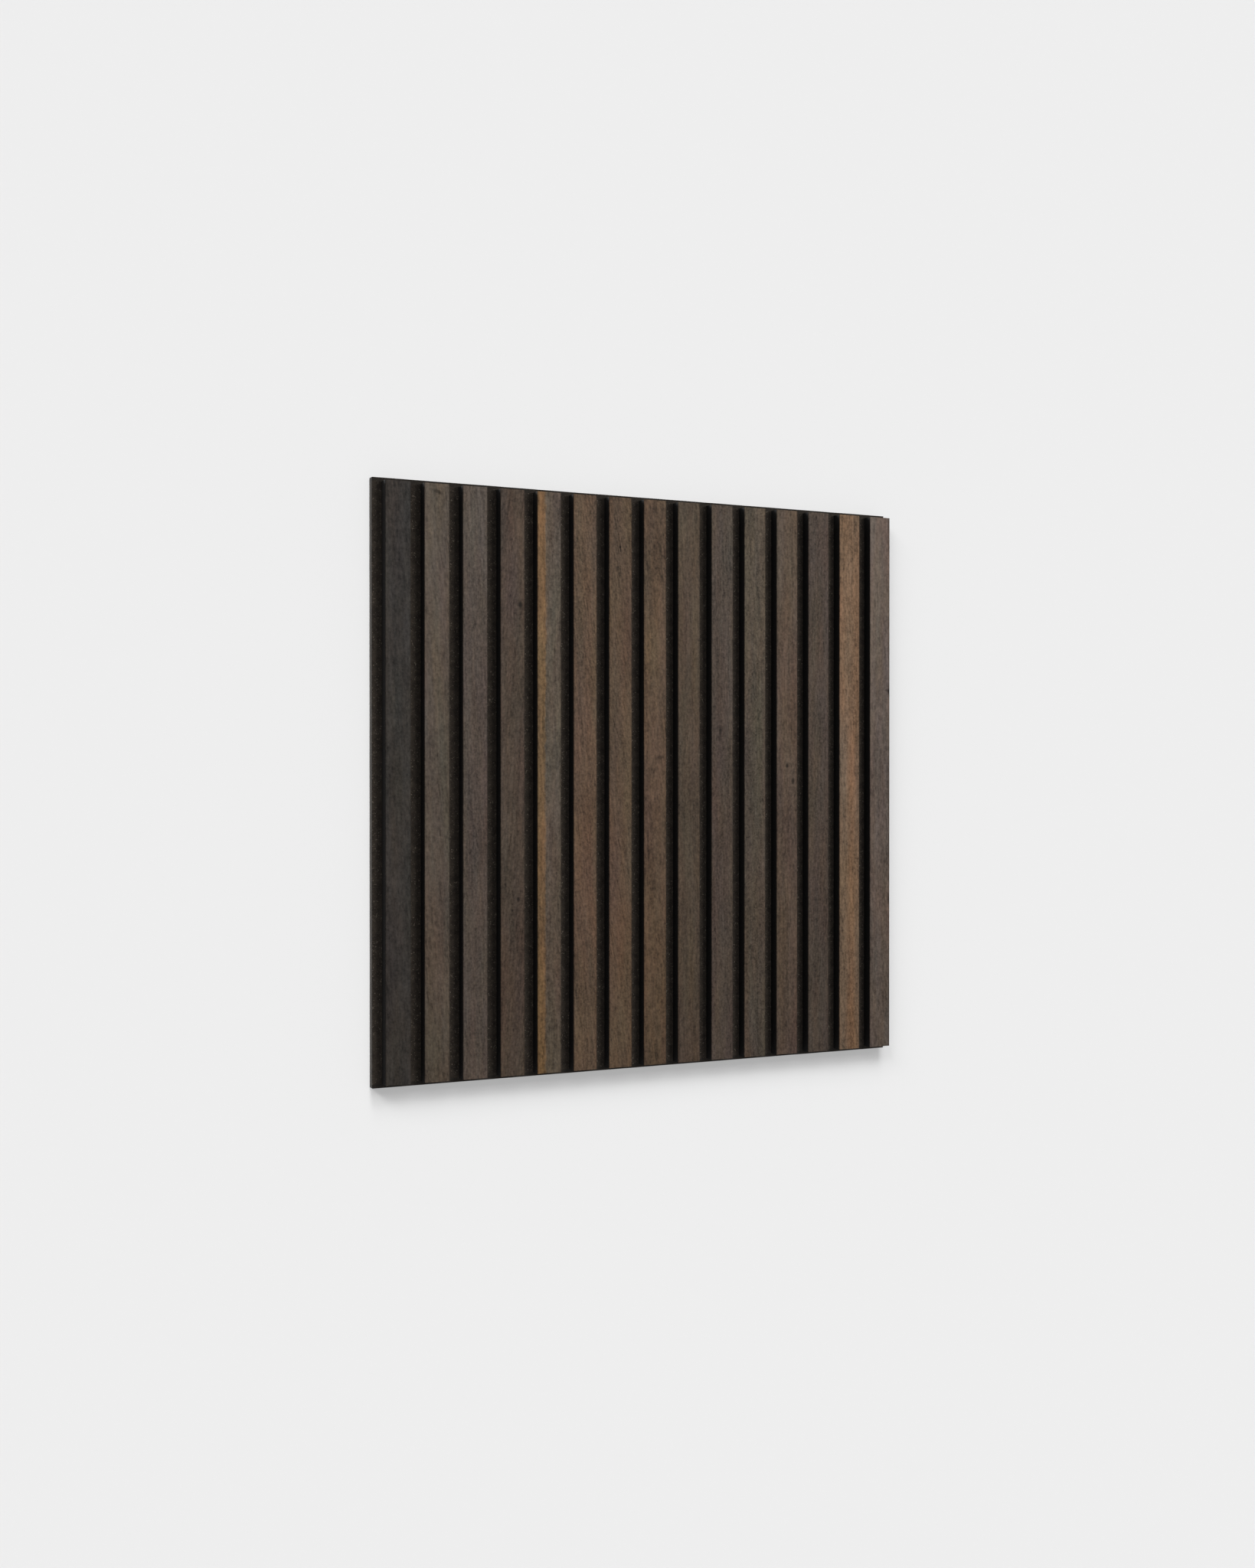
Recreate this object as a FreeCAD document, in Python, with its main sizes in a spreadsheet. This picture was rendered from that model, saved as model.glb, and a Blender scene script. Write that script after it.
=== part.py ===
import FreeCAD, Part
import os
import Sketcher

# Acoustic slat wall panel, in millimetres.
# Upright wood-faced strips stand side by side on a felt board and are stapled on from behind.
# +Z is up, the slats face -Y, and the origin is the centre of the back, which goes on the wall.

# Driving sizes, each written once
driving_sizes = {
    # Slats: a black fibreboard core with an oak veneer glued to its front
    "slat_count": 15,
    "slat_width": 26,
    "slat_gap": 14,
    "slat_length": 592,
    "core_depth": 11.4,
    "veneer_thickness": 0.6,
    "arris_radius": 0.5,
    # Felt board: it shows past the slats' ends and past the left slat
    "felt_thickness": 9,
    "felt_lip": 10,
    "felt_margin": 4,
    # Staples: flat wire, crown level, sunk a little into the felt
    "staple_rows": 4,
    "staple_end_distance": 50,
    "staple_crown": 10.6,
    "wire_width": 1.2,
    "wire_thickness": 0.7,
    "bend_radius": 0.9,
    "staple_sink": 1,
    "staple_bite": 6,
}

# Lengths that follow from the driving sizes
slat_pitch = "(Sizes.slat_width + Sizes.slat_gap)"
felt_width = f"(Sizes.felt_lip + Sizes.slat_count * {slat_pitch} - Sizes.slat_gap)"
felt_height = "(Sizes.slat_length + 2 * Sizes.felt_margin)"
first_slat_x = f"(Sizes.felt_lip + Sizes.slat_width / 2 - {felt_width} / 2)"
first_row_z = "(Sizes.staple_end_distance - Sizes.slat_length / 2)"
row_span = "(Sizes.slat_length - 2 * Sizes.staple_end_distance)"
slat_span = f"((Sizes.slat_count - 1) * {slat_pitch})"
leg_outside = "(Sizes.staple_crown / 2)"
leg_inside = "(Sizes.staple_crown / 2 - Sizes.wire_thickness)"

document = FreeCAD.newDocument("AcousticSlatPanel")
sub_parts = []


def add_sizes():
    sheet = document.addObject("Spreadsheet::Sheet", "Sizes")
    for row, (name, value) in enumerate(driving_sizes.items(), start=1):
        sheet.set(f"A{row}", name)
        sheet.set(f"B{row}", str(value))
        sheet.setAlias(f"B{row}", name)
    document.recompute()
    return sheet


def add_body(label):
    body = document.addObject("PartDesign::Body", label)
    body.Label = label
    sub_parts.append(body)
    return body


def origin_feature(body, role):
    return next(feature for feature in body.Origin.OriginFeatures if feature.Role == role)


def add_sketch(body, name, plane):
    sketch = body.newObject("Sketcher::SketchObject", name)
    sketch.AttachmentSupport = [(origin_feature(body, plane), "")]
    sketch.MapMode = "FlatFace"
    return sketch


# A closed outline of upright and level sides, whose corners are pairs of expressions
def add_outline(sketch, corners):
    first_side = sketch.GeometryCount
    places = [
        FreeCAD.Vector(float(sketch.evalExpression(across)), float(sketch.evalExpression(up)), 0)
        for across, up in corners
    ]
    for index, place in enumerate(places):
        following = (index + 1) % len(places)
        sketch.addGeometry(Part.LineSegment(place, places[following]), False)
    for index, (across, up) in enumerate(corners):
        side = first_side + index
        following = (index + 1) % len(corners)
        sketch.addConstraint(Sketcher.Constraint("Coincident", side, 2, first_side + following, 1))
        if corners[following][0] == across:
            sketch.addConstraint(Sketcher.Constraint("Vertical", side))
            limit = Sketcher.Constraint("DistanceX", -1, 1, side, 1, places[index].x)
            expression = across
        else:
            sketch.addConstraint(Sketcher.Constraint("Horizontal", side))
            limit = Sketcher.Constraint("DistanceY", -1, 1, side, 1, places[index].y)
            expression = up
        number = sketch.addConstraint(limit)
        sketch.setExpression(f"Constraints[{number}]", expression)


def add_rectangle(sketch, left, right, bottom, top):
    add_outline(sketch, [(left, bottom), (right, bottom), (right, top), (left, top)])


# The outline of a staple: a crown with a leg at each end, both legs pointing to the front
def add_staple_outline(sketch, crown_depth, leg_depth):
    crown_back = f"-({crown_depth})"
    crown_front = "-(Sizes.staple_sink + Sizes.wire_thickness)"
    leg_end = f"-({leg_depth})"
    add_outline(
        sketch,
        [
            (f"-{leg_outside}", crown_back),
            (f"-{leg_outside}", leg_end),
            (f"-{leg_inside}", leg_end),
            (f"-{leg_inside}", crown_front),
            (leg_inside, crown_front),
            (leg_inside, leg_end),
            (leg_outside, leg_end),
            (leg_outside, crown_back),
        ],
    )


def put_on_first_row(sketch, across="0"):
    sketch.setExpression("AttachmentOffset.Base.x", across)
    sketch.setExpression("AttachmentOffset.Base.z", first_row_z)


# Both kinds take the length half to each side of the sketch
def add_extrusion(body, kind, name, sketch, length):
    feature = body.newObject(kind, name)
    feature.Profile = sketch
    feature.SideType = "Symmetric"
    feature.setExpression("Length", length)
    return feature


# Repeats along the height for each row, and across the panel where across is true
def repeat_on_rows(body, name, originals, across):
    pattern = body.newObject("PartDesign::LinearPattern", name)
    pattern.Originals = originals
    pattern.Direction = (origin_feature(body, "Z_Axis"), [""])
    pattern.setExpression("Length", row_span)
    pattern.setExpression("Occurrences", "Sizes.staple_rows")
    if across:
        pattern.Direction2 = (origin_feature(body, "X_Axis"), [""])
        pattern.setExpression("Length2", slat_span)
        pattern.setExpression("Occurrences2", "Sizes.slat_count")
    body.Tip = pattern
    return pattern


def upright_edges_at(shape, x_places, y_place):
    names = []
    for number, edge in enumerate(shape.Edges, start=1):
        start = edge.Vertexes[0].Point
        end = edge.Vertexes[-1].Point
        is_upright = abs(start.x - end.x) < 1e-6 and abs(start.y - end.y) < 1e-6
        in_line = abs(start.y - y_place) < 1e-6
        in_line = in_line and any(abs(start.x - x_place) < 1e-6 for x_place in x_places)
        if is_upright and in_line:
            names.append(f"Edge{number}")
    return names


# Felt board: a plain rectangle, slit through where each staple goes in
def make_felt():
    body = add_body("felt_backing")
    outline = add_sketch(body, "FeltOutline", "XZ_Plane")
    half_width = f"{felt_width} / 2"
    half_height = f"{felt_height} / 2"
    add_rectangle(outline, f"-{half_width}", half_width, f"-{half_height}", half_height)
    board = body.newObject("PartDesign::Pad", "FeltBoard")
    board.Profile = outline
    board.setExpression("Length", "Sizes.felt_thickness")

    slit_outline = add_sketch(body, "StapleSlitOutline", "XY_Plane")
    put_on_first_row(slit_outline, first_slat_x)
    add_staple_outline(slit_outline, "0", "Sizes.felt_thickness")
    slit = add_extrusion(body, "PartDesign::Pocket", "StapleSlit", slit_outline, "Sizes.wire_width")
    document.recompute()
    repeat_on_rows(body, "StapleSlits", [slit], across=True)


def place_slat_piece(body, index, depth):
    body.setExpression("Placement.Base.x", f"{first_slat_x} + {index} * {slat_pitch}")
    body.setExpression("Placement.Base.y", f"-({depth})")


# Core: the load-bearing strip, with a hole for each staple leg in its back
def make_core(index):
    body = add_body(f"slat_core_{index + 1:02d}")
    section = add_sketch(body, f"CoreSection{index + 1:02d}", "XY_Plane")
    add_rectangle(section, "-Sizes.slat_width / 2", "Sizes.slat_width / 2", "-Sizes.core_depth", "0")
    add_extrusion(body, "PartDesign::Pad", f"Core{index + 1:02d}", section, "Sizes.slat_length")

    legs = add_sketch(body, f"LegHoleOutline{index + 1:02d}", "XY_Plane")
    put_on_first_row(legs)
    add_rectangle(legs, f"-{leg_outside}", f"-{leg_inside}", "-Sizes.staple_bite", "0")
    add_rectangle(legs, leg_inside, leg_outside, "-Sizes.staple_bite", "0")
    holes = add_extrusion(body, "PartDesign::Pocket", f"LegHole{index + 1:02d}", legs, "Sizes.wire_width")
    document.recompute()
    repeat_on_rows(body, f"LegHoles{index + 1:02d}", [holes], across=False)
    place_slat_piece(body, index, "Sizes.felt_thickness")


# Veneer: the face of the slat, its two long front arrises sanded round
def make_veneer(sheet, index):
    body = add_body(f"slat_veneer_{index + 1:02d}")
    section = add_sketch(body, f"VeneerSection{index + 1:02d}", "XY_Plane")
    add_rectangle(
        section, "-Sizes.slat_width / 2", "Sizes.slat_width / 2", "-Sizes.veneer_thickness", "0"
    )
    face = add_extrusion(body, "PartDesign::Pad", f"Veneer{index + 1:02d}", section, "Sizes.slat_length")
    document.recompute()
    half_width = float(sheet.slat_width) / 2
    front = -float(sheet.veneer_thickness)
    rounds = body.newObject("PartDesign::Fillet", f"Arris{index + 1:02d}")
    rounds.Base = (face, upright_edges_at(face.Shape, [-half_width, half_width], front))
    rounds.setExpression("Radius", "min(Sizes.arris_radius; 0.9 * Sizes.veneer_thickness)")
    place_slat_piece(body, index, "Sizes.felt_thickness + Sizes.core_depth")


# Staples: flat wire bent twice, one behind each slat in every row
def make_staples(sheet):
    body = add_body("back_staples")
    wire = add_sketch(body, "StapleOutline", "XY_Plane")
    put_on_first_row(wire, first_slat_x)
    add_staple_outline(wire, "Sizes.staple_sink", "Sizes.felt_thickness + Sizes.staple_bite")
    staple = add_extrusion(body, "PartDesign::Pad", "Staple", wire, "Sizes.wire_width")
    document.recompute()
    centre = float(wire.AttachmentOffset.Base.x)
    half_crown = float(sheet.staple_crown) / 2
    bends = body.newObject("PartDesign::Fillet", "StapleBends")
    ends = [centre - half_crown, centre + half_crown]
    bends.Base = (staple, upright_edges_at(staple.Shape, ends, -float(sheet.staple_sink)))
    bends.setExpression("Radius", "Sizes.bend_radius")
    document.recompute()
    staples = repeat_on_rows(body, "Staples", [], across=True)
    staples.TransformMode = "Whole shape"


# Everything must have computed before any file is written
def check_model():
    for item in document.Objects:
        if "Invalid" in item.State or "Error" in item.State:
            raise RuntimeError(f"{item.Label} did not compute: {item.State}")
    for body in sub_parts:
        if body.Shape.isNull() or not body.Shape.isValid():
            raise RuntimeError(f"{body.Label} has no valid shape")


sheet = add_sizes()
make_felt()
for index in range(int(sheet.slat_count)):
    make_core(index)
    make_veneer(sheet, index)
make_staples(sheet)
document.recompute()
check_model()

os.makedirs("parts", exist_ok=True)
for body in sub_parts:
    body.Shape.exportStep(f"parts/{body.Label}.step")
    solids = len(body.Shape.Solids)
    print(f"{body.Label}: {solids} solids, {body.Shape.Volume:.1f} mm3")
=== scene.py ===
import math

import bpy
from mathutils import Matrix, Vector


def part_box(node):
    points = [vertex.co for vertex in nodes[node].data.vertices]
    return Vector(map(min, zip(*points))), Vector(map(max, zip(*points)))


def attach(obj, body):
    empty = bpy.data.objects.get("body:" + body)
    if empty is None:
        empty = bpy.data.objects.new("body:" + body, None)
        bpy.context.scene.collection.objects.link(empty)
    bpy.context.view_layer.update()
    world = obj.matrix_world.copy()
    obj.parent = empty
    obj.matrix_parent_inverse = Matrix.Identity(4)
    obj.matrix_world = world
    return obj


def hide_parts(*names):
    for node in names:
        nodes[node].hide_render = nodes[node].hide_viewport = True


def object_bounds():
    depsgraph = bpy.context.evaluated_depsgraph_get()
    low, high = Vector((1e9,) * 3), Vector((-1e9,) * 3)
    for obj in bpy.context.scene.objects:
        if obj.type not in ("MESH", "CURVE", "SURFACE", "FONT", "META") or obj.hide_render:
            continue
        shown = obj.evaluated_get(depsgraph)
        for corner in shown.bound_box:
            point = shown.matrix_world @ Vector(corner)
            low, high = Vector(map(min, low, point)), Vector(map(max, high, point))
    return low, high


# Acoustic slat wall panel: smoked oak slats on a black felt board, hung flat on a pale wall
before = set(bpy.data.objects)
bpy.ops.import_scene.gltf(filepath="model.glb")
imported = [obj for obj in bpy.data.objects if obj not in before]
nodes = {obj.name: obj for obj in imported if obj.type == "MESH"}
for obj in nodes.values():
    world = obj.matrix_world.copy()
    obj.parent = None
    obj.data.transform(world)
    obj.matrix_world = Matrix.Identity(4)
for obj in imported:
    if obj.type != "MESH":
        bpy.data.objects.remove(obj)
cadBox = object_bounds()
print("frame loaded:", len(nodes), "nodes")


# helpers for pieces

def deselectAll():
    if bpy.context.object and bpy.context.object.mode != "OBJECT":
        bpy.ops.object.mode_set(mode="OBJECT")
    bpy.ops.object.select_all(action="DESELECT")


def makeActive(piece):
    deselectAll()
    piece.select_set(True)
    bpy.context.view_layer.objects.active = piece


def settlePlace(piece):
    makeActive(piece)
    bpy.ops.object.transform_apply(location=True, rotation=True, scale=True)


def middleOf(node):
    low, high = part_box(node)
    return (Vector(low) + Vector(high)) / 2


def setMaterial(piece, material):
    piece.data.materials.clear()
    piece.data.materials.append(material)


# helpers for materials; every pattern reads the Object coordinates, which are in metres

def newMaterial(name):
    material = bpy.data.materials.new(name)
    material.use_nodes = True
    tree = material.node_tree
    tree.nodes.clear()
    output = tree.nodes.new("ShaderNodeOutputMaterial")
    shader = tree.nodes.new("ShaderNodeBsdfPrincipled")
    tree.links.new(shader.outputs["BSDF"], output.inputs["Surface"])
    return material, tree, shader


def feed(tree, socket, value):
    if isinstance(value, bpy.types.NodeSocket):
        tree.links.new(value, socket)
    else:
        socket.default_value = value


def doMath(tree, operation, first, second=0.0, third=0.0):
    node = tree.nodes.new("ShaderNodeMath")
    node.operation = operation
    feed(tree, node.inputs[0], first)
    feed(tree, node.inputs[1], second)
    feed(tree, node.inputs[2], third)
    return node.outputs[0]


def squareOf(tree, value):
    return doMath(tree, "MULTIPLY", value, value)


def joinVector(tree, across, depth, along):
    node = tree.nodes.new("ShaderNodeCombineXYZ")
    feed(tree, node.inputs[0], across)
    feed(tree, node.inputs[1], depth)
    feed(tree, node.inputs[2], along)
    return node.outputs[0]


def noise(tree, vector, scale, detail=3.0, roughness=0.55, distortion=0.0):
    node = tree.nodes.new("ShaderNodeTexNoise")
    feed(tree, node.inputs["Vector"], vector)
    feed(tree, node.inputs["Scale"], scale)
    feed(tree, node.inputs["Detail"], detail)
    feed(tree, node.inputs["Roughness"], roughness)
    feed(tree, node.inputs["Distortion"], distortion)
    return node.outputs["Fac"]


def ramp(tree, value, low, high, start=0.0, end=1.0):
    node = tree.nodes.new("ShaderNodeMapRange")
    node.interpolation_type = "SMOOTHSTEP"
    feed(tree, node.inputs["Value"], value)
    feed(tree, node.inputs["From Min"], low)
    feed(tree, node.inputs["From Max"], high)
    feed(tree, node.inputs["To Min"], start)
    feed(tree, node.inputs["To Max"], end)
    return node.outputs["Result"]


def mixColour(tree, amount, first, second, kind="MIX"):
    node = tree.nodes.new("ShaderNodeMix")
    node.data_type = "RGBA"
    node.blend_type = kind
    feed(tree, node.inputs["Factor"], amount)
    feed(tree, node.inputs["A"], first)
    feed(tree, node.inputs["B"], second)
    return node.outputs["Result"]


def addBump(tree, shader, height, depth):
    node = tree.nodes.new("ShaderNodeBump")
    node.inputs["Strength"].default_value = 1.0
    feed(tree, node.inputs["Height"], height)
    feed(tree, node.inputs["Distance"], depth)
    tree.links.new(node.outputs["Normal"], shader.inputs["Normal"])


def objectPlace(tree):
    return tree.nodes.new("ShaderNodeTexCoord").outputs["Object"]


# the x, y and z of a place
def partsOf(tree, place):
    node = tree.nodes.new("ShaderNodeSeparateXYZ")
    tree.links.new(place, node.inputs[0])
    return node.outputs


# a written sRGB colour, 0 to 255, as the shader's linear one
def shade(red, green, blue):
    linear = []
    for level in (red, green, blue):
        level = level / 255
        linear.append(level / 12.92 if level <= 0.04045 else ((level + 0.055) / 1.055) ** 2.4)
    return (*linear, 1.0)


# smoked oak veneer: patterns in millimetres, measured across each slat and up from the panel's middle

# marks in the grain: width and length, and how far each lightens or darkens the wood
grainMarks = {
    "cloud": {"width": 24, "length": 80, "strength": 0.7},
    "streak": {"width": 4.0, "length": 110, "strength": 0.55},
    "thread": {"width": 2.0, "length": 50, "strength": 0.38},
    "stroke": {"width": 2.1, "length": 15, "strength": 0.66},
    "fleck": {"width": 2.4, "length": 5.5, "strength": 1.15},
    "speck": {"width": 2.2, "length": 2.1, "strength": 1.0},
}

# each pattern's own slice of the noise, and how far one slat's slices lie from the next slat's
grainSlices = {
    "wander": 0, "cloud": 1, "streak": 2, "thread": 3, "stroke": 4, "fleck": 5, "speck": 6,
    "rings": 11, "curl": 12, "checks": 13, "groups": 14, "pores": 15,
    "warmth": 16, "mottle": 17, "green": 18, "marble": 19, "ragged": 20,
}
sliceStep = 17.31
millimetresInMetre = 1000

# each range is the two places or levels between which something fades in or out
oakFinish = {
    # where the grain runs: steadiness is the share of a slat's lean that all but its cracks follow
    "wanderLength": 160, "wander": 4, "steadiness": 0.6,
    "ringSpacing": 7, "ringArch": 0.5, "ringDepth": 0.7, "marbleWidth": 8, "marbleLength": 13,
    "curlWidth": 7, "curlLength": 9, "curlTurns": 46, "curlDepth": 0.10,
    # knots
    "knotFlatness": 0.6, "knotPush": 0.85, "heartInside": 0.12, "heartOutside": 0.55, "heartDark": 0.75,
    # drying cracks and open pores
    "checkWidth": 0.9, "checkLength": 24, "checkRange": (0.60, 0.70), "checkDepth": 0.22,
    "groupWidth": 34 / 3, "groupLength": 34, "groupRange": (0.46, 0.60),
    "poreWidth": 0.45, "poreLength": 4.5, "poreRange": (0.54, 0.66), "poreDepth": 0.06,
    # colour
    "light": 1.02, "driftWidth": 14, "driftLength": 110, "drift": 0.30,
    "mottleWidth": 2.2, "mottleLength": 7, "mottleDrift": 0.05,
    "greenWidth": 21, "greenLength": 165, "greenDrift": 0.28,
    "raggedWidth": 3, "raggedLength": 9, "ragged": 5, "sapwoodBlend": 1.6, "sapwoodWander": 0.3,
    "streakWidth": 4.5, "streakEnd": (30, 90), "streakWarmth": 0.16, "streakLight": 0.14,
    "pale": 0.22, "paleBlend": 40, "headRange": (80, 260), "footRange": (-260, -80),
    # painted shade along each slat's two long edges
    "paintedEdgeShadeRange": (11.4, 13.0), "paintedEdgeShade": 0.4,
    # surface, its relief in metres
    "relief": 0.00022, "levelRelief": 0.5, "roughness": 0.66, "poreRoughness": 0.92, "gloss": 0.09,
}

# colour of each wood
oakTones = {
    "charcoal": (51, 46, 42), "taupe": (82, 71, 61), "dove": (77, 66, 59), "umber": (72, 59, 50),
    "drift": (82, 71, 60), "chestnut": (88, 69, 55), "brown": (84, 66, 52), "peat": (73, 60, 49),
    "slate": (71, 60, 52), "moss": (74, 63, 53), "clay": (78, 64, 54), "ash": (70, 59, 51),
    "honey": (110, 86, 67), "mauve": (88, 76, 68), "sapwood": (104, 80, 56),
}

# the slats from the left: the wood of each and how its grain lies
# lean is the grain's slope, figure the strength of its arched rings, checks that of its drying cracks and
# contrast that of all its marks; head and foot say how much lighter its ends are, or darker if below zero,
# and sapwood, warmStreak and paleAbove where on the slat these lie
# a knot's flat squashes it, its slant tilts it, and its push is how far the grain goes round it
slatWoods = [
    {"tone": "charcoal", "lean": 0.08, "figure": 0.5, "checks": 0.3, "contrast": 0.95, "marble": 1.0,
     "green": -0.6},
    {"tone": "taupe", "lean": 0.12, "figure": 0.3, "checks": 1.4, "contrast": 0.8, "head": 0.11,
     "knots": [{"across": 0.5, "up": 288, "size": 15, "dark": 0.75, "slant": 0.3, "flat": 4.5, "push": 0}]},
    {"tone": "dove", "lean": 0.06, "figure": 0.3, "checks": 0.9, "contrast": 1.1, "head": 0.09, "foot": 0.12},
    {"tone": "umber", "lean": -0.12, "figure": 0.6, "checks": 1.2, "contrast": 1.0, "marble": 0.4,
     "knots": [{"across": 8.4, "up": 180, "size": 6, "dark": 1.0},
               {"across": 6.0, "up": -118, "size": 4.4, "dark": 1.0},
               {"across": 0.7, "up": -250, "size": 3.0, "dark": 0.8}]},
    {"tone": "drift", "lean": 0.05, "figure": 0.2, "checks": 0.5, "contrast": 1.0, "sapwood": -4.2},
    {"tone": "chestnut", "lean": 0.17, "figure": 0.4, "checks": 1.2, "contrast": 1.05,
     "head": -0.12, "foot": 0.05},
    {"tone": "brown", "lean": 0.22, "figure": 0.4, "checks": 2.0, "contrast": 1.0,
     "head": -0.13, "foot": 0.2},
    {"tone": "brown", "lean": 0.10, "figure": 0.5, "checks": 0.8, "contrast": 1.0,
     "head": -0.13, "foot": -0.15,
     "knots": [{"across": 5.0, "up": 26, "size": 14, "dark": 0.65, "slant": -0.15, "flat": 4.5, "push": 0}]},
    {"tone": "peat", "lean": 0.05, "figure": 0.3, "checks": 0.3, "contrast": 0.95},
    {"tone": "slate", "lean": 0.03, "figure": 0.3, "checks": 0.5, "contrast": 1.15,
     "knots": [{"across": -2.4, "up": 54, "size": 4.6, "dark": 0.9, "flat": 0.6}]},
    {"tone": "moss", "lean": 0.06, "figure": 0.2, "checks": 0.3, "contrast": 1.0, "curl": 1.4, "head": 0.06},
    {"tone": "clay", "lean": 0.03, "figure": 0.3, "checks": 0.4, "contrast": 1.0, "foot": 0.08,
     "knots": [{"across": 0.1, "up": 18, "size": 4.4, "dark": 1.0},
               {"across": 7.4, "up": 1.5, "size": 5.6, "dark": 1.0}]},
    {"tone": "ash", "lean": -0.04, "figure": 0.2, "checks": 0.3, "contrast": 1.2},
    {"tone": "honey", "lean": 0.06, "figure": 0.3, "checks": 0.4, "contrast": 0.88, "marble": 0.5,
     "warmStreak": 3.0, "green": 0.4, "head": -0.06, "foot": -0.13},
    {"tone": "mauve", "lean": 0.04, "figure": 0.4, "checks": 0.3, "contrast": 0.8, "marble": 0.6,
     "paleAbove": 25, "foot": 0.05,
     "knots": [{"across": 12.2, "up": 102, "size": 5.5, "dark": 1.0},
               {"across": 12.0, "up": -132, "size": 5, "dark": 0.8}]},
]


# noise on one slat, each blot of it as wide and long as asked
def grainNoise(tree, slat, pattern, across, along, width, length, detail=1.0):
    place = joinVector(
        tree,
        doMath(tree, "DIVIDE", across, width),
        slat["slice"] + grainSlices[pattern],
        doMath(tree, "DIVIDE", along, length),
    )
    return noise(tree, place, 1.0, detail)


# the same noise about zero, times its strength
def grainBlots(tree, slat, pattern, across, along, width, length, strength, detail=1.0):
    blots = grainNoise(tree, slat, pattern, across, along, width, length, detail)
    return doMath(tree, "MULTIPLY", doMath(tree, "SUBTRACT", blots, 0.5), strength)


# where the grain runs on a slat: across and along it, then drawn round its knots, and with its lean as well
def layGrain(tree, number, middle, wood):
    x, _, z = partsOf(tree, objectPlace(tree))
    across = doMath(tree, "MULTIPLY", doMath(tree, "SUBTRACT", x, middle.x), millimetresInMetre)
    along = doMath(tree, "MULTIPLY", z, millimetresInMetre)
    slat = {"slice": number * sliceStep, "across": across, "along": along}
    slat["wandering"] = grainBlots(
        tree, slat, "wander", 0.0, along, 1, oakFinish["wanderLength"], 2 * oakFinish["wander"]
    )
    bent, slat["hearts"] = bendRoundKnots(tree, across, along, wood.get("knots", []))
    drawn = doMath(tree, "ADD", bent, slat["wandering"])
    slat["drawn"] = drawn
    slat["run"] = doMath(tree, "MULTIPLY_ADD", along, wood["lean"] * oakFinish["steadiness"], drawn)
    slat["slanted"] = doMath(tree, "MULTIPLY_ADD", along, wood["lean"], drawn)
    return slat


# the way across, pushed aside at each knot, and the knots' dark hearts
def bendRoundKnots(tree, across, along, knots):
    finish = oakFinish
    hearts = 0.0
    for knot in knots:
        size = knot["size"]
        aside = doMath(tree, "SUBTRACT", across, knot["across"])
        above = doMath(tree, "SUBTRACT", along, knot["up"])
        above = doMath(tree, "MULTIPLY_ADD", aside, knot.get("slant", 0.0), above)
        above = doMath(tree, "MULTIPLY", above, finish["knotFlatness"] * knot.get("flat", 1.0))
        distanceSquared = doMath(tree, "ADD", squareOf(tree, aside), squareOf(tree, above))
        nearness = doMath(tree, "EXPONENT", doMath(tree, "DIVIDE", distanceSquared, -2 * size ** 2))
        push = doMath(tree, "MULTIPLY", aside, nearness)
        push = doMath(tree, "MULTIPLY", push, knot.get("push", finish["knotPush"]))
        across = doMath(tree, "SUBTRACT", across, push)
        distance = doMath(tree, "SQRT", distanceSquared)
        heart = ramp(tree, distance, size * finish["heartInside"], size * finish["heartOutside"], 1.0, 0.0)
        hearts = doMath(tree, "MAXIMUM", hearts, doMath(tree, "MULTIPLY", heart, knot["dark"]))
    return across, hearts


# how light or dark the grain is, about zero: marks of every size and tall arched rings,
# and on some slats marbling or curls
def grainLevel(tree, slat, wood):
    finish = oakFinish
    run, along = slat["run"], slat["along"]
    level = 0.0
    for name, mark in grainMarks.items():
        strength = mark["strength"] * wood["contrast"]
        marks = grainBlots(tree, slat, name, run, along, mark["width"], mark["length"], strength)
        level = doMath(tree, "ADD", level, marks)
    arch = doMath(tree, "MULTIPLY_ADD", squareOf(tree, slat["drawn"]), finish["ringArch"], along)
    ringStrength = finish["ringDepth"] * wood["figure"]
    rings = grainBlots(tree, slat, "rings", 0.0, arch, 1, finish["ringSpacing"], ringStrength)
    level = doMath(tree, "ADD", level, rings)
    if "marble" in wood:
        marbling = grainBlots(
            tree, slat, "marble", run, along, finish["marbleWidth"], finish["marbleLength"], wood["marble"],
            detail=3.0,
        )
        level = doMath(tree, "ADD", level, marbling)
    if "curl" in wood:
        curls = grainNoise(
            tree, slat, "curl", slat["across"], along, finish["curlWidth"], finish["curlLength"], detail=0.0
        )
        curls = doMath(tree, "SINE", doMath(tree, "MULTIPLY", curls, finish["curlTurns"]))
        level = doMath(tree, "MULTIPLY_ADD", curls, finish["curlDepth"] * wood["curl"], level)
    return level


# fine drying cracks in loose groups, and open pores
def openGrain(tree, slat, wood):
    finish = oakFinish
    run, along = slat["run"], slat["along"]
    slanted = slat["slanted"]
    crack = grainNoise(tree, slat, "checks", slanted, along, finish["checkWidth"], finish["checkLength"])
    group = grainNoise(tree, slat, "groups", run, along, finish["groupWidth"], finish["groupLength"])
    pore = grainNoise(tree, slat, "pores", run, along, finish["poreWidth"], finish["poreLength"])
    crack = doMath(
        tree, "MULTIPLY", ramp(tree, crack, *finish["checkRange"]), ramp(tree, group, *finish["groupRange"])
    )
    pore = doMath(tree, "MULTIPLY", ramp(tree, pore, *finish["poreRange"]), finish["poreDepth"])
    return doMath(tree, "MULTIPLY_ADD", crack, finish["checkDepth"] * wood["checks"], pore)


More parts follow.
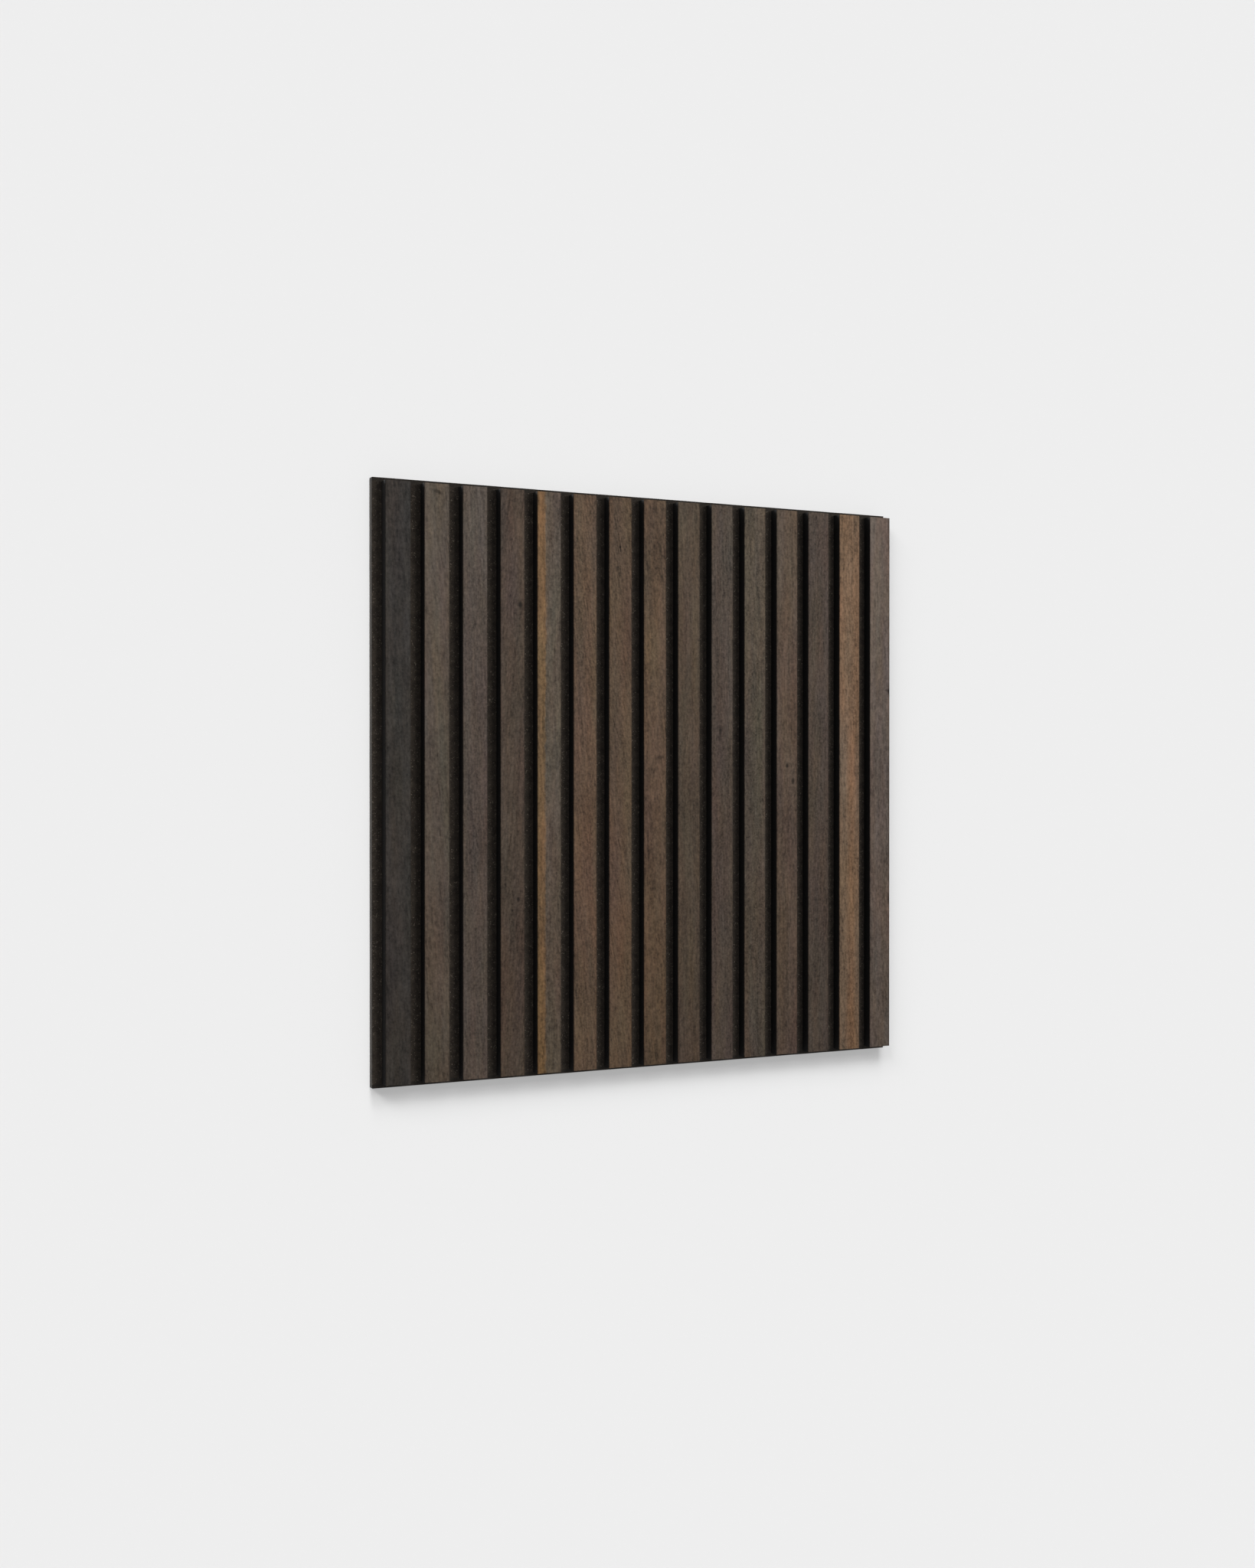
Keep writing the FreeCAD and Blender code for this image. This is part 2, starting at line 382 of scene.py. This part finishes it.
# the wood's plain colour, with a ragged strip of pale sapwood down the left of a slat that has one
def plainWood(tree, slat, wood):
    finish = oakFinish
    colour = shade(*oakTones[wood["tone"]])
    if "sapwood" not in wood:
        return colour
    ragged = grainBlots(
        tree, slat, "ragged", slat["across"], slat["along"], finish["raggedWidth"], finish["raggedLength"],
        finish["ragged"], detail=2.0,
    )
    edge = doMath(tree, "MULTIPLY_ADD", slat["wandering"], -finish["sapwoodWander"], slat["across"])
    edge = doMath(tree, "ADD", edge, ragged)
    start, end = wood["sapwood"] - finish["sapwoodBlend"], wood["sapwood"] + finish["sapwoodBlend"]
    return mixColour(tree, ramp(tree, edge, start, end, 1.0, 0.0), colour, shade(*oakTones["sapwood"]))


# a soft streak down the lower part of a slat, about zero
def softStreak(tree, slat, wood):
    aside = doMath(tree, "SUBTRACT", slat["across"], wood["warmStreak"])
    aside = doMath(tree, "DIVIDE", aside, oakFinish["streakWidth"])
    streak = doMath(tree, "EXPONENT", doMath(tree, "MULTIPLY", squareOf(tree, aside), -0.5))
    streak = doMath(tree, "SUBTRACT", streak, 0.5)
    return doMath(tree, "MULTIPLY", streak, ramp(tree, slat["along"], *oakFinish["streakEnd"], 1.0, 0.0))


# how bright the wood is, where 1 is its plain colour, with painted shade along its long edges
def woodLight(tree, slat, wood, level, openings, streak):
    finish = oakFinish
    along = slat["along"]
    light = doMath(tree, "ADD", level, finish["light"])
    light = doMath(tree, "MULTIPLY_ADD", streak, finish["streakLight"], light)
    if "paleAbove" in wood:
        start, end = wood["paleAbove"] - finish["paleBlend"], wood["paleAbove"] + finish["paleBlend"]
        pale = ramp(tree, along, start, end, -0.5, 0.5)
        light = doMath(tree, "MULTIPLY_ADD", pale, finish["pale"], light)
    if "head" in wood:
        light = doMath(tree, "ADD", light, ramp(tree, along, *finish["headRange"], 0.0, wood["head"]))
    if "foot" in wood:
        light = doMath(tree, "ADD", light, ramp(tree, along, *finish["footRange"], wood["foot"], 0.0))
    light = doMath(tree, "SUBTRACT", light, openings)
    light = doMath(
        tree, "MULTIPLY", light, doMath(tree, "MULTIPLY_ADD", slat["hearts"], -finish["heartDark"], 1.0)
    )
    # painted shade: the wood darker in the last 1.6 millimetres of each long edge
    fromMiddle = doMath(tree, "ABSOLUTE", slat["across"])
    edge = ramp(tree, fromMiddle, *finish["paintedEdgeShadeRange"], 1.0, 1.0 - finish["paintedEdgeShade"])
    return doMath(tree, "MULTIPLY", light, edge)


# how much of red, green and blue stays: the wood's light, with its drift to warm and cool, green and mauve
def woodTint(tree, slat, wood, light, streak):
    finish = oakFinish
    across, along = slat["across"], slat["along"]
    warmth = grainBlots(
        tree, slat, "warmth", across, along, finish["driftWidth"], finish["driftLength"], finish["drift"],
        detail=2.0,
    )
    mottle = grainBlots(
        tree, slat, "mottle", slat["run"], along, finish["mottleWidth"], finish["mottleLength"],
        finish["mottleDrift"],
    )
    warmth = doMath(tree, "ADD", warmth, mottle)
    warmth = doMath(tree, "MULTIPLY_ADD", streak, finish["streakWarmth"], warmth)
    greening = grainBlots(
        tree, slat, "green", across, along, finish["greenWidth"], finish["greenLength"],
        finish["greenDrift"] * wood.get("green", 1.0), detail=2.0,
    )
    return joinVector(
        tree,
        doMath(tree, "MULTIPLY", light, doMath(tree, "ADD", warmth, 1.0)),
        doMath(tree, "MULTIPLY", light, doMath(tree, "ADD", greening, 1.0)),
        doMath(tree, "MULTIPLY", light, doMath(tree, "SUBTRACT", 1.0, warmth)),
    )


def makeOakVeneer(number, middle, wood):
    finish = oakFinish
    material, tree, shader = newMaterial(f"oakVeneer{number:02d}")
    slat = layGrain(tree, number, middle, wood)
    level = grainLevel(tree, slat, wood)
    openings = openGrain(tree, slat, wood)
    streak = softStreak(tree, slat, wood) if "warmStreak" in wood else 0.0
    light = woodLight(tree, slat, wood, level, openings, streak)
    tint = woodTint(tree, slat, wood, light, streak)
    colour = mixColour(tree, 1.0, plainWood(tree, slat, wood), tint, "MULTIPLY")
    tree.links.new(colour, shader.inputs["Base Color"])
    rougher = finish["poreRoughness"] - finish["roughness"]
    rough = doMath(tree, "MULTIPLY_ADD", openings, rougher, finish["roughness"])
    tree.links.new(rough, shader.inputs["Roughness"])
    shader.inputs["Specular IOR Level"].default_value = finish["gloss"]
    height = doMath(tree, "SUBTRACT", doMath(tree, "MULTIPLY", level, finish["levelRelief"]), openings)
    addBump(tree, shader, height, finish["relief"])
    return material


def dressVeneers():
    for number, wood in enumerate(slatWoods, start=1):
        node = f"slat_veneer_{number:02d}"
        setMaterial(nodes[node], makeOakVeneer(number, middleOf(node), wood))
    print("oak veneer on", len(slatWoods), "slats")


# slat cores: fibreboard, stained black on its sides

coreFinish = {
    "black": (17, 16, 16), "fibre": (34, 31, 29), "fibreSize": 0.0011, "fibreRange": (0.5, 0.75),
    "roughness": 0.75, "gloss": 0.2, "relief": 0.00008,
}


def makeCoreBlack():
    material, tree, shader = newMaterial("coreBlack")
    place = objectPlace(tree)
    fibre = noise(tree, place, 1 / coreFinish["fibreSize"], detail=3.0, roughness=0.7)
    shown = ramp(tree, fibre, *coreFinish["fibreRange"])
    colour = mixColour(tree, shown, shade(*coreFinish["black"]), shade(*coreFinish["fibre"]))
    tree.links.new(colour, shader.inputs["Base Color"])
    shader.inputs["Roughness"].default_value = coreFinish["roughness"]
    shader.inputs["Specular IOR Level"].default_value = coreFinish["gloss"]
    addBump(tree, shader, fibre, coreFinish["relief"])
    return material


def dressCores():
    material = makeCoreBlack()
    for number in range(1, len(slatWoods) + 1):
        setMaterial(nodes[f"slat_core_{number:02d}"], material)
    print("black fibreboard on the cores")


# felt board: pressed fibres, its cut edges a little soft, dimpled under each staple

feltBoard = {
    # shape, in metres and degrees
    "spacing": 0.006, "edgeCuts": 2, "edgeSoftness": 0.0006, "edgeSteps": 2,
    "sharpAngle": 60, "smoothAngle": 50,
    "unevenness": 0.00025, "waveSize": 0.05,
    "dimpleDepth": 0.001625, "dimpleAcross": 0.010, "dimpleAlong": 0.006, "dimpleReach": 0.012,
    "dimpleCuts": 3, "backSkin": 0.001,
    # fibres that waver, tufts, lint, and painted shade along the top and bottom rim
    "black": (66, 59, 52), "fibre": (94, 84, 74), "deep": (49, 43, 38), "lint": (132, 122, 110),
    "paintedRimShade": (40, 36, 32), "waverScale": 260, "waver": 0.004,
    "fibreScale": 900, "fibreRange": (0.50, 0.74), "tuftScale": 130, "tuftRange": (0.35, 0.65),
    "lintSize": 0.0016, "lintRange": (0.64, 0.74), "lintCover": 0.7,
    "paintedRimShadeRange": (0.2945, 0.2968), "paintedRimShadeCover": 0.8,
    "roughness": 0.95, "gloss": 0.1, "sheen": 0.15, "sheenRoughness": 0.6,
    "relief": 0.0005, "fibreRelief": 0.6, "tuftRelief": 0.8,
}


def addFeltSkin(low, high, depth, name):
    deselectAll()
    width, height = high.x - low.x, high.z - low.z
    bpy.ops.mesh.primitive_grid_add(
        x_subdivisions=round(width / feltBoard["spacing"]),
        y_subdivisions=round(height / feltBoard["spacing"]),
        size=1, location=((low.x + high.x) / 2, depth, (low.z + high.z) / 2),
        rotation=(math.pi / 2, 0, 0),
    )
    skin = bpy.context.object
    skin.name = name
    skin.scale = (width, height, 1)
    settlePlace(skin)
    return skin


def selectFaces(piece, wanted):
    bpy.ops.object.mode_set(mode="EDIT")
    bpy.ops.mesh.select_mode(type="FACE")
    bpy.ops.mesh.select_all(action="DESELECT")
    bpy.ops.object.mode_set(mode="OBJECT")
    for face in piece.data.polygons:
        face.select = wanted(face.center)
    bpy.ops.object.mode_set(mode="EDIT")


# the middle of each staple's crown, from the CAD staples
def staplePlaces():
    edges = sorted({round(vertex.co.z, 4) for vertex in nodes["back_staples"].data.vertices})
    rows = [(lower + upper) / 2 for lower, upper in zip(edges[::2], edges[1::2])]
    columns = [middleOf(f"slat_core_{number:02d}").x for number in range(1, len(slatWoods) + 1)]
    return [(column, row) for column in columns for row in rows]


# finer faces wherever a staple presses in
def refineAtStaples(skin, places):
    reach = feltBoard["dimpleReach"]
    makeActive(skin)
    selectFaces(skin, lambda centre: any(
        abs(centre.x - across) < reach and abs(centre.z - up) < reach for across, up in places))
    bpy.ops.mesh.subdivide(number_cuts=feltBoard["dimpleCuts"])
    bpy.ops.object.mode_set(mode="OBJECT")


# back and front become one board, closed round its edge, and its corners are softened
def closeBoard(board, front):
    makeActive(front)
    board.select_set(True)
    bpy.context.view_layer.objects.active = board
    bpy.ops.object.join()
    bpy.ops.object.mode_set(mode="EDIT")
    bpy.ops.mesh.select_mode(type="EDGE")
    bpy.ops.mesh.select_all(action="DESELECT")
    bpy.ops.mesh.select_non_manifold(extend=False, use_wire=False, use_boundary=True,
                                     use_multi_face=False, use_non_contiguous=False, use_verts=False)
    bpy.ops.mesh.bridge_edge_loops(number_cuts=feltBoard["edgeCuts"])
    bpy.ops.mesh.select_all(action="SELECT")
    bpy.ops.mesh.normals_make_consistent(inside=False)
    bpy.ops.mesh.select_all(action="DESELECT")
    bpy.ops.mesh.edges_select_sharp(sharpness=math.radians(feltBoard["sharpAngle"]))
    bpy.ops.mesh.bevel(offset=feltBoard["edgeSoftness"], segments=feltBoard["edgeSteps"])
    bpy.ops.object.mode_set(mode="OBJECT")


# each staple pulls the back of the felt in
def pressDimples(board, back, places):
    for vertex in board.data.vertices:
        if vertex.co.y < back - feltBoard["backSkin"]:
            continue
        for across, up in places:
            away = math.hypot((vertex.co.x - across) / feltBoard["dimpleAcross"],
                              (vertex.co.z - up) / feltBoard["dimpleAlong"])
            if away < 1:
                vertex.co.y -= feltBoard["dimpleDepth"] * (1 - away ** 2) ** 2


def roughenBoard(board):
    wave = bpy.data.textures.new("feltWave", "CLOUDS")
    wave.noise_scale = feltBoard["waveSize"]
    uneven = board.modifiers.new("uneven", "DISPLACE")
    uneven.texture = wave
    uneven.texture_coords = "LOCAL"
    uneven.mid_level = 1.0
    uneven.strength = feltBoard["unevenness"]
    makeActive(board)
    bpy.ops.object.modifier_apply(modifier=uneven.name)
    bpy.ops.object.shade_smooth_by_angle(angle=math.radians(feltBoard["smoothAngle"]))


def addFelt():
    low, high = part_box("felt_backing")
    places = staplePlaces()
    board = addFeltSkin(low, high, high.y, "felt")
    front = addFeltSkin(low, high, low.y, "feltFront")
    refineAtStaples(board, places)
    closeBoard(board, front)
    pressDimples(board, high.y, places)
    roughenBoard(board)
    setMaterial(board, makeFelt())
    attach(board, "root")
    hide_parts("felt_backing")
    print("felt board:", len(board.data.polygons), "faces,", len(places), "dimples")


def makeFelt():
    look = feltBoard
    material, tree, shader = newMaterial("blackFelt")
    place = objectPlace(tree)
    _, _, z = partsOf(tree, place)
    waver = tree.nodes.new("ShaderNodeTexNoise")
    feed(tree, waver.inputs["Vector"], place)
    feed(tree, waver.inputs["Scale"], look["waverScale"])
    bent = tree.nodes.new("ShaderNodeVectorMath")
    bent.operation = "MULTIPLY_ADD"
    feed(tree, bent.inputs[0], waver.outputs["Color"])
    bent.inputs[1].default_value = (look["waver"], look["waver"], look["waver"])
    feed(tree, bent.inputs[2], place)
    fibres = noise(tree, bent.outputs[0], look["fibreScale"], detail=4.0, roughness=0.75, distortion=1.5)
    tufts = noise(tree, place, look["tuftScale"], detail=3.0, roughness=0.6)
    raised = ramp(tree, tufts, *look["tuftRange"])
    colour = mixColour(tree, raised, shade(*look["deep"]), shade(*look["black"]))
    colour = mixColour(tree, ramp(tree, fibres, *look["fibreRange"]), colour, shade(*look["fibre"]))
    lint = noise(tree, place, 1 / look["lintSize"], detail=1.0)
    lint = ramp(tree, lint, *look["lintRange"], 0.0, look["lintCover"])
    colour = mixColour(tree, lint, colour, shade(*look["lint"]))
    # painted shade: the felt darker in a strip along its top and bottom edges
    paintedRimShade = ramp(tree, doMath(tree, "ABSOLUTE", z), *look["paintedRimShadeRange"], 0.0, look["paintedRimShadeCover"])
    colour = mixColour(tree, paintedRimShade, colour, shade(*look["paintedRimShade"]))
    tree.links.new(colour, shader.inputs["Base Color"])
    shader.inputs["Roughness"].default_value = look["roughness"]
    shader.inputs["Specular IOR Level"].default_value = look["gloss"]
    shader.inputs["Sheen Weight"].default_value = look["sheen"]
    shader.inputs["Sheen Roughness"].default_value = look["sheenRoughness"]
    height = doMath(tree, "MULTIPLY", tufts, look["tuftRelief"])
    height = doMath(tree, "MULTIPLY_ADD", fibres, look["fibreRelief"], height)
    addBump(tree, shader, height, look["relief"])
    return material


# staples: flat galvanised wire

stapleWire = {
    "zinc": (168, 168, 164), "dull": (120, 120, 118), "cloudScale": 420, "dullRange": (0.4, 0.65),
    "metal": 0.9, "roughRange": (0.3, 0.7), "roughness": 0.38, "dullRoughness": 0.58, "relief": 0.00003,
}


def dressStaples():
    look = stapleWire
    material, tree, shader = newMaterial("stapleWire")
    place = objectPlace(tree)
    cloud = noise(tree, place, look["cloudScale"], detail=3.0, roughness=0.6)
    dulled = ramp(tree, cloud, *look["dullRange"])
    colour = mixColour(tree, dulled, shade(*look["zinc"]), shade(*look["dull"]))
    tree.links.new(colour, shader.inputs["Base Color"])
    shader.inputs["Metallic"].default_value = look["metal"]
    rough = ramp(tree, cloud, *look["roughRange"], look["roughness"], look["dullRoughness"])
    tree.links.new(rough, shader.inputs["Roughness"])
    addBump(tree, shader, cloud, look["relief"])
    setMaterial(nodes["back_staples"], material)
    print("zinc on the staples")


# stage: a pale wall right behind the panel and a pale floor far below it

stageLook = {
    "wallPaint": (188, 188, 188), "floorPaint": (142, 142, 142), "glow": 0.305, "pale": (238, 238, 238),
    "wallGap": 0.0006, "wallWidth": 7.0, "wallTop": 2.2, "floorDrop": 1.45, "floorSize": 9.0,
}


# pale paint with a little glow of its own for the camera, clear when seen from behind
def makePaint(name):
    material, tree, shader = newMaterial(name)
    shader.inputs["Base Color"].default_value = shade(*stageLook[name])
    shader.inputs["Roughness"].default_value = 1.0
    shader.inputs["Specular IOR Level"].default_value = 0.0
    shader.inputs["Emission Color"].default_value = (1, 1, 1, 1)
    tree.links.new(doMath(tree, "MULTIPLY", seenDirectly(tree), stageLook["glow"]),
                   shader.inputs["Emission Strength"])
    clear = tree.nodes.new("ShaderNodeBsdfTransparent")
    side = tree.nodes.new("ShaderNodeNewGeometry")
    either = tree.nodes.new("ShaderNodeMixShader")
    tree.links.new(side.outputs["Backfacing"], either.inputs["Fac"])
    tree.links.new(shader.outputs["BSDF"], either.inputs[1])
    tree.links.new(clear.outputs["BSDF"], either.inputs[2])
    output = next(node for node in tree.nodes if node.type == "OUTPUT_MATERIAL")
    tree.links.new(either.outputs["Shader"], output.inputs["Surface"])
    return material


# 1 for what the camera sees, also by reflection, and 0 for light that falls on the panel
def seenDirectly(tree):
    ray = tree.nodes.new("ShaderNodeLightPath")
    mirrored = doMath(tree, "MAXIMUM", ray.outputs["Is Glossy Ray"], ray.outputs["Is Transmission Ray"])
    return doMath(tree, "MAXIMUM", ray.outputs["Is Camera Ray"], mirrored)


def addPlane(name, width, depth, place, turn):
    deselectAll()
    bpy.ops.mesh.primitive_plane_add(size=1, location=place, rotation=turn)
    plane = bpy.context.object
    plane.name = name
    plane.scale = (width, depth, 1)
    settlePlace(plane)
    return plane


def addStage():
    _, backCorner = cadBox
    bottom = -stageLook["floorDrop"]
    height = stageLook["wallTop"] - bottom
    wallPlace = (0, backCorner[1] + stageLook["wallGap"], bottom + height / 2)
    wall = addPlane("wall", stageLook["wallWidth"], height, wallPlace, (math.pi / 2, 0, 0))
    floor = addPlane("floor", stageLook["floorSize"], stageLook["floorSize"], (0, 0, bottom), (0, 0, 0))
    setMaterial(wall, makePaint("wallPaint"))
    setMaterial(floor, makePaint("floorPaint"))
    for plane in (wall, floor):
        plane.visible_diffuse = False
        plane.visible_shadow = False
    print("pale wall and floor")
    return wall, floor


# lights: a broad key lamp to the right, a near one that makes the veneers' tops brighter and cooler,
# three soft suns for the board's shadow on the wall, one from behind for the panel's back, and an even sky

lights = {
    "key": {"place": (1.5, -3.0, 0.55), "aim": (-3.0, 0, 0), "width": 1.8, "height": 0.3, "power": 60,
            "colour": (1.0, 0.97, 0.93)},
    "window": {"place": (0.1, -0.8, 0.55), "aim": (0, 0, 0.1), "width": 0.5, "height": 0.3, "power": 4,
               "colour": (0.8, 0.92, 1.0)},
    "dropLow": {"towards": (-0.3, -1.0, 1.4), "strength": 1.60, "softness": 40, "colour": (1, 1, 1)},
    "dropHigh": {"towards": (-0.3, -1.0, 2.6), "strength": 2.08, "softness": 20, "colour": (1, 1, 1)},
    "dropSide": {"towards": (-2.6, -1.0, 2.3), "strength": 3.05, "softness": 20, "colour": (1, 1, 1)},
    "rear": {"towards": (-0.5, 1.0, 0.6), "strength": 2.4, "softness": 20, "colour": (1, 1, 1)},
    "skyStrength": 0.30,
}


# a light that shines on these pieces only, turned so that it comes from the given direction
def addLight(name, kind, towards, receivers):
    deselectAll()
    bpy.ops.object.light_add(type=kind)
    light = bpy.context.object
    light.name = name + "Light"
    light.rotation_euler = Vector(towards).to_track_quat("Z", "Y").to_euler()
    light.data.color = lights[name]["colour"]
    light.light_linking.receiver_collection = groupOf(name + "Lit", receivers)
    return light


def groupOf(name, pieces):
    group = bpy.data.collections.new(name)
    for piece in pieces:
        group.objects.link(piece)
    return group


def addSun(name, receivers):
    look = lights[name]
    sun = addLight(name, "SUN", look["towards"], receivers)
    sun.data.energy = look["strength"]
    sun.data.angle = math.radians(look["softness"])
    return sun


def addLamp(name, receivers):
    look = lights[name]
    lamp = addLight(name, "AREA", Vector(look["place"]) - Vector(look["aim"]), receivers)
    lamp.location = look["place"]
    lamp.data.shape = "RECTANGLE"
    lamp.data.size = look["width"]
    lamp.data.size_y = look["height"]
    lamp.data.energy = look["power"]


def addSky():
    world = bpy.data.worlds.new("studio")
    bpy.context.scene.world = world
    world.use_nodes = True
    tree = world.node_tree
    tree.nodes.clear()
    output = tree.nodes.new("ShaderNodeOutputWorld")
    seen = tree.nodes.new("ShaderNodeBackground")
    seen.inputs["Color"].default_value = shade(*stageLook["pale"])
    lighting = tree.nodes.new("ShaderNodeBackground")
    lighting.inputs["Color"].default_value = (1, 1, 1, 1)
    lighting.inputs["Strength"].default_value = lights["skyStrength"]
    either = tree.nodes.new("ShaderNodeMixShader")
    tree.links.new(seenDirectly(tree), either.inputs["Fac"])
    tree.links.new(lighting.outputs[0], either.inputs[1])
    tree.links.new(seen.outputs[0], either.inputs[2])
    tree.links.new(either.outputs[0], output.inputs["Surface"])


# camera: level with the middle of the panel, 1.8 metres away on its left

cameraPlace = {"place": (-0.7790, -1.6190, 0.0065), "turn": 25.20, "dip": 0.259, "lens": 38.95, "sensor": 36}


def addCamera():
    deselectAll()
    bpy.ops.object.camera_add(
        location=cameraPlace["place"],
        rotation=(math.radians(90 - cameraPlace["dip"]), 0, math.radians(-cameraPlace["turn"])),
    )
    camera = bpy.context.object
    camera.data.sensor_width = cameraPlace["sensor"]
    camera.data.lens = cameraPlace["lens"]
    bpy.context.scene.camera = camera


dressVeneers()
dressCores()
dressStaples()
addFelt()
wall, floor = addStage()
panelPieces = [piece for piece in bpy.data.objects if piece.type == "MESH" and piece not in (wall, floor)]
addLamp("key", panelPieces)
addLamp("window", [nodes[name] for name in nodes if name.startswith("slat_veneer")])
addSun("rear", panelPieces)
for name in ("dropLow", "dropHigh", "dropSide"):
    dropSun = addSun(name, [wall, floor])
    dropSun.light_linking.blocker_collection = groupOf(name + "Blockers", [bpy.data.objects["felt"]])
addSky()
addCamera()
bpy.context.scene.view_settings.view_transform = "Standard"
